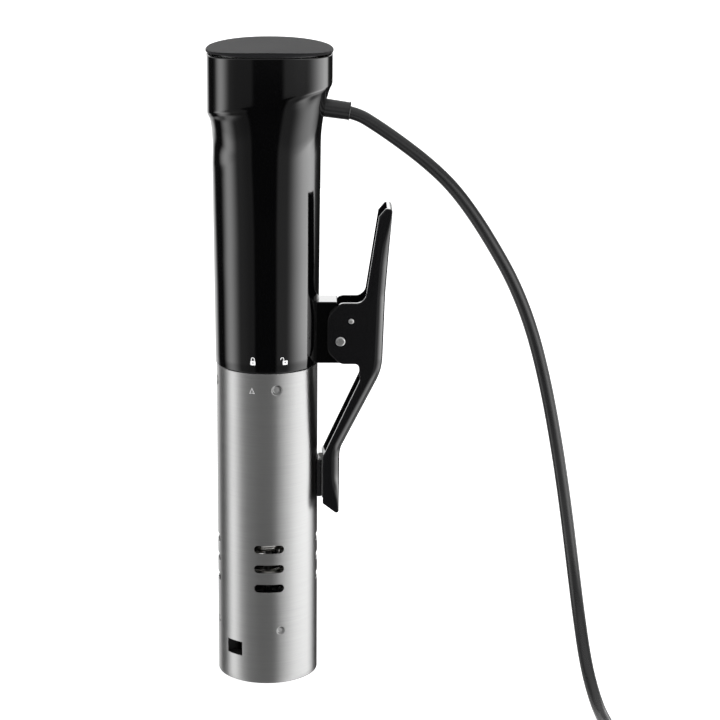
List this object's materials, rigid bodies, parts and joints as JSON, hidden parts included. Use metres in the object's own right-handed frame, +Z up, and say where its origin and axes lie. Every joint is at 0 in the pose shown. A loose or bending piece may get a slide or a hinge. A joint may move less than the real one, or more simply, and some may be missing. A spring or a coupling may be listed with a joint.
{
  "type": "sous vide circulator",
  "caption": "Stick-shaped sous vide circulator: black housing with oval touch head, brushed steel skirt with slots, sprung pot clamp lever and mains cord.",
  "frame": {"origin": "centre of the skirt's bottom face, on the stick's axis", "axes": "+Z up the stick to the touch panel, +X towards the clamp and the cord, front towards -Y"},
  "size_m": [0.2391, 0.2675, 0.3818],
  "materials": {
    "gloss_black": "high gloss moulded ABS",
    "matt_black": "fine matt",
    "brushed": "brushed round the tube",
    "steel": "turned or drawn steel",
    "heater_steel": "polished stainless tube",
    "rubber": "matt rubber",
    "inner_plastic": "moulded, unpolished",
    "board": "glass-epoxy laminate",
    "sink_aluminium": "extruded",
    "ferrite": "sintered ferrite",
    "bronze": "sintered bronze"
  },
  "bodies": {
    "housing": {"housing_shell": "gloss_black", "clamp_bracket": "gloss_black", "top_panel": "matt_black", "spine_cover": "matt_black", "mounting_disc": "steel", "pump_rods": "steel", "rod_nuts": "steel", "motor_case": "steel", "motor_screws": "steel", "bracket_screws": "steel", "pivot_pin": "steel", "torsion_spring": "steel", "temperature_probe": "steel", "level_electrodes": "steel", "plug_pins": "steel", "heater_coil": "heater_steel", "cord_boot": "rubber", "power_cord": "rubber", "plug_lead": "rubber", "cord_coil": "rubber", "cord_tie": "rubber", "plug_body": "rubber", "panel_gasket": "rubber", "disc_seal": "rubber", "shaft_seal": "rubber", "bayonet_collar": "inner_plastic", "inner_frame": "inner_plastic", "display_carrier": "inner_plastic", "display_module": "inner_plastic", "motor_end_cap": "inner_plastic", "bearing_plate": "inner_plastic", "relay": "inner_plastic", "terminal_block": "inner_plastic", "transformer": "inner_plastic", "capacitors": "inner_plastic", "power_board": "board", "display_board": "board", "heat_sink": "sink_aluminium", "motor_plate": "sink_aluminium", "motor_magnets": "ferrite", "motor_bearings": "bronze", "lower_bush": "bronze"},
    "drive": {"motor_rotor": "steel", "cooling_fan": "inner_plastic", "shaft_coupling": "steel", "drive_shaft": "steel", "impeller": "inner_plastic", "retaining_clip": "steel"},
    "skirt": {"steel_skirt": "brushed", "base_cap": "inner_plastic", "pump_volute": "inner_plastic"},
    "lever": {"clamp_lever": "gloss_black", "spring_pin": "steel", "pad_plate": "steel", "grip_pad": "rubber"}
  },
  "joints": [
    {"name": "impeller_spin", "type": "hinge", "parent": "housing", "child": "drive", "pos_m": [0, 0, 0.02], "axis": [0, 0, 1], "continuous": true},
    {"name": "skirt_turn", "type": "hinge", "parent": "housing", "child": "skirt", "pos_m": [0, 0, 0], "axis": [0, 0, 1], "range_deg": [0, 35]},
    {"name": "lever_swing", "type": "hinge", "parent": "housing", "child": "lever", "pos_m": [0.0433, 0, 0.2084], "axis": [0, -1, 0], "range_deg": [0, 20], "stiffness_Nm_per_rad": 1.2, "springref_deg": -20.05, "deforming": ["torsion_spring"]}
  ]
}
